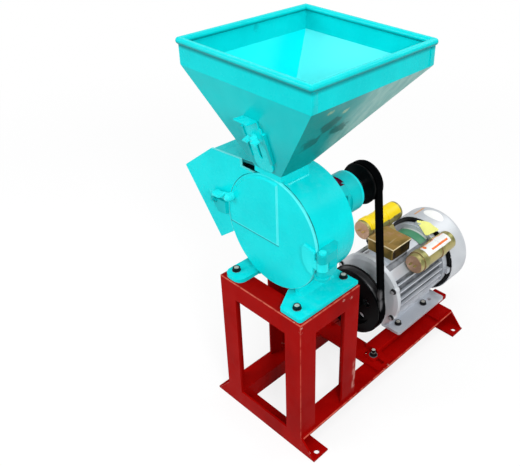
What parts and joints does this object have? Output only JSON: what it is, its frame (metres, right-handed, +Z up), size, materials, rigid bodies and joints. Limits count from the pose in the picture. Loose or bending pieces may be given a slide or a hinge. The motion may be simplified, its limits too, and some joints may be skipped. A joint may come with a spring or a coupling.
{
  "type": "powder grinder",
  "caption": "Belt-driven hammer mill on an angle-iron stand: square feed hopper, round mill housing with a hinged door, and an electric motor behind.",
  "frame": {"origin": "on the floor, in the middle of the four foot holes", "axes": "+Z up, -Y out of the mill's door, +X to the right of someone facing the door"},
  "size_m": [0.3859, 0.632, 0.782],
  "materials": {
    "red_paint": "gloss",
    "teal_paint": "gloss",
    "plated_steel": "satin",
    "bright_steel": "satin",
    "hard_steel": "satin",
    "black_iron": "satin",
    "belt_rubber": "matte",
    "grey_aluminium": "satin",
    "black_plastic": "matte",
    "gold_plate": "satin"
  },
  "bodies": {
    "base": {"stand_legs_front": "red_paint", "stand_legs_rear": "red_paint", "stand_top_frame": "red_paint", "base_rails": "red_paint", "front_cross_foot": "red_paint", "rear_cross_foot": "red_paint", "front_cross_bar": "red_paint", "rear_cross_bar": "red_paint", "slide_bars": "red_paint", "mill_foot_left": "teal_paint", "mill_foot_right": "teal_paint", "housing_wall": "teal_paint", "back_plate": "teal_paint", "chamber_cover": "teal_paint", "body_hinge_leaf": "teal_paint", "hinge_pin": "teal_paint", "latch_keeper": "teal_paint", "bearing_housing": "teal_paint", "bearing_cap": "teal_paint", "hopper_rim": "teal_paint", "hopper_band": "teal_paint", "hopper_funnel": "teal_paint", "hopper_neck": "teal_paint", "motor_bolts": "plated_steel", "mill_foot_bolts": "plated_steel", "bearing_screws": "plated_steel", "bearings": "bright_steel", "sieve": "bright_steel", "toothed_liner": "hard_steel", "drive_belt": "belt_rubber", "motor_frame": "grey_aluminium", "motor_front_shield": "grey_aluminium", "motor_rear_shield": "grey_aluminium", "fan_cowl": "grey_aluminium", "cable_gland": "black_plastic", "terminal_box": "gold_plate", "terminal_lid": "gold_plate", "capacitor_left": "gold_plate", "capacitor_right": "gold_plate", "capacitor_clamps": "gold_plate"},
    "door": {"door_plate": "teal_paint", "door_panel": "teal_paint", "door_hinge_leaf": "teal_paint", "latch_pivot": "teal_paint"},
    "latch": {"latch_bar": "teal_paint"},
    "feed_gate": {"feed_slide": "teal_paint"},
    "lock_screw": {"slide_lock_screw": "teal_paint"},
    "rotor": {"rotor_shaft": "bright_steel", "rotor_lock_nut": "bright_steel", "rotor_discs": "hard_steel", "hammer_pins": "bright_steel", "mill_pulley": "black_iron"},
    "beaters_1": {"hammers_1": "hard_steel"},
    "beaters_2": {"hammers_2": "hard_steel"},
    "beaters_3": {"hammers_3": "hard_steel"},
    "beaters_4": {"hammers_4": "hard_steel"},
    "motor_rotor": {"motor_shaft": "bright_steel", "motor_pulley": "black_iron", "motor_fan": "black_plastic"}
  },
  "joints": [
    {"name": "door_hinge", "type": "hinge", "parent": "base", "child": "door", "pos_m": [0.116, -0.221, 0.44], "axis": [0, 0, 1], "range_deg": [0, 120]},
    {"name": "latch_turn", "type": "hinge", "parent": "door", "child": "latch", "pos_m": [-0.104, -0.232, 0.488], "axis": [0, 1, 0], "range_deg": [0, 90]},
    {"name": "feed_gate_slide", "type": "slide", "parent": "base", "child": "feed_gate", "axis": [0, -0.2928, 0.9562], "range_m": [0, 0.04]},
    {"name": "lock_screw_turn", "type": "hinge", "parent": "base", "child": "lock_screw", "pos_m": [-0.006, -0.24872, 0.64693], "axis": [0, -0.9562, -0.2928], "range_deg": [0, 360]},
    {"name": "rotor_spin", "type": "hinge", "parent": "base", "child": "rotor", "pos_m": [-0.006, 0, 0.452], "axis": [0, 1, 0], "continuous": true},
    {"name": "motor_spin", "type": "hinge", "parent": "base", "child": "motor_rotor", "pos_m": [-0.012, 0, 0.148], "axis": [0, 1, 0], "continuous": true},
    {"name": "beater_swing_1", "type": "hinge", "parent": "rotor", "child": "beaters_1", "pos_m": [0.03501, -0.173, 0.49301], "axis": [0, 1, 0], "range_deg": [-180, 5]},
    {"name": "beater_swing_2", "type": "hinge", "parent": "rotor", "child": "beaters_2", "pos_m": [-0.04701, -0.173, 0.49301], "axis": [0, 1, 0], "range_deg": [-5, 180]},
    {"name": "beater_swing_3", "type": "hinge", "parent": "rotor", "child": "beaters_3", "pos_m": [-0.04701, -0.173, 0.41099], "axis": [0, 1, 0], "range_deg": [-90, 180]},
    {"name": "beater_swing_4", "type": "hinge", "parent": "rotor", "child": "beaters_4", "pos_m": [0.03501, -0.173, 0.41099], "axis": [0, 1, 0], "range_deg": [-180, 90]}
  ],
  "couplings": [
    {"joint": "rotor_spin", "follows": "motor_spin", "ratio": 1.923}
  ]
}
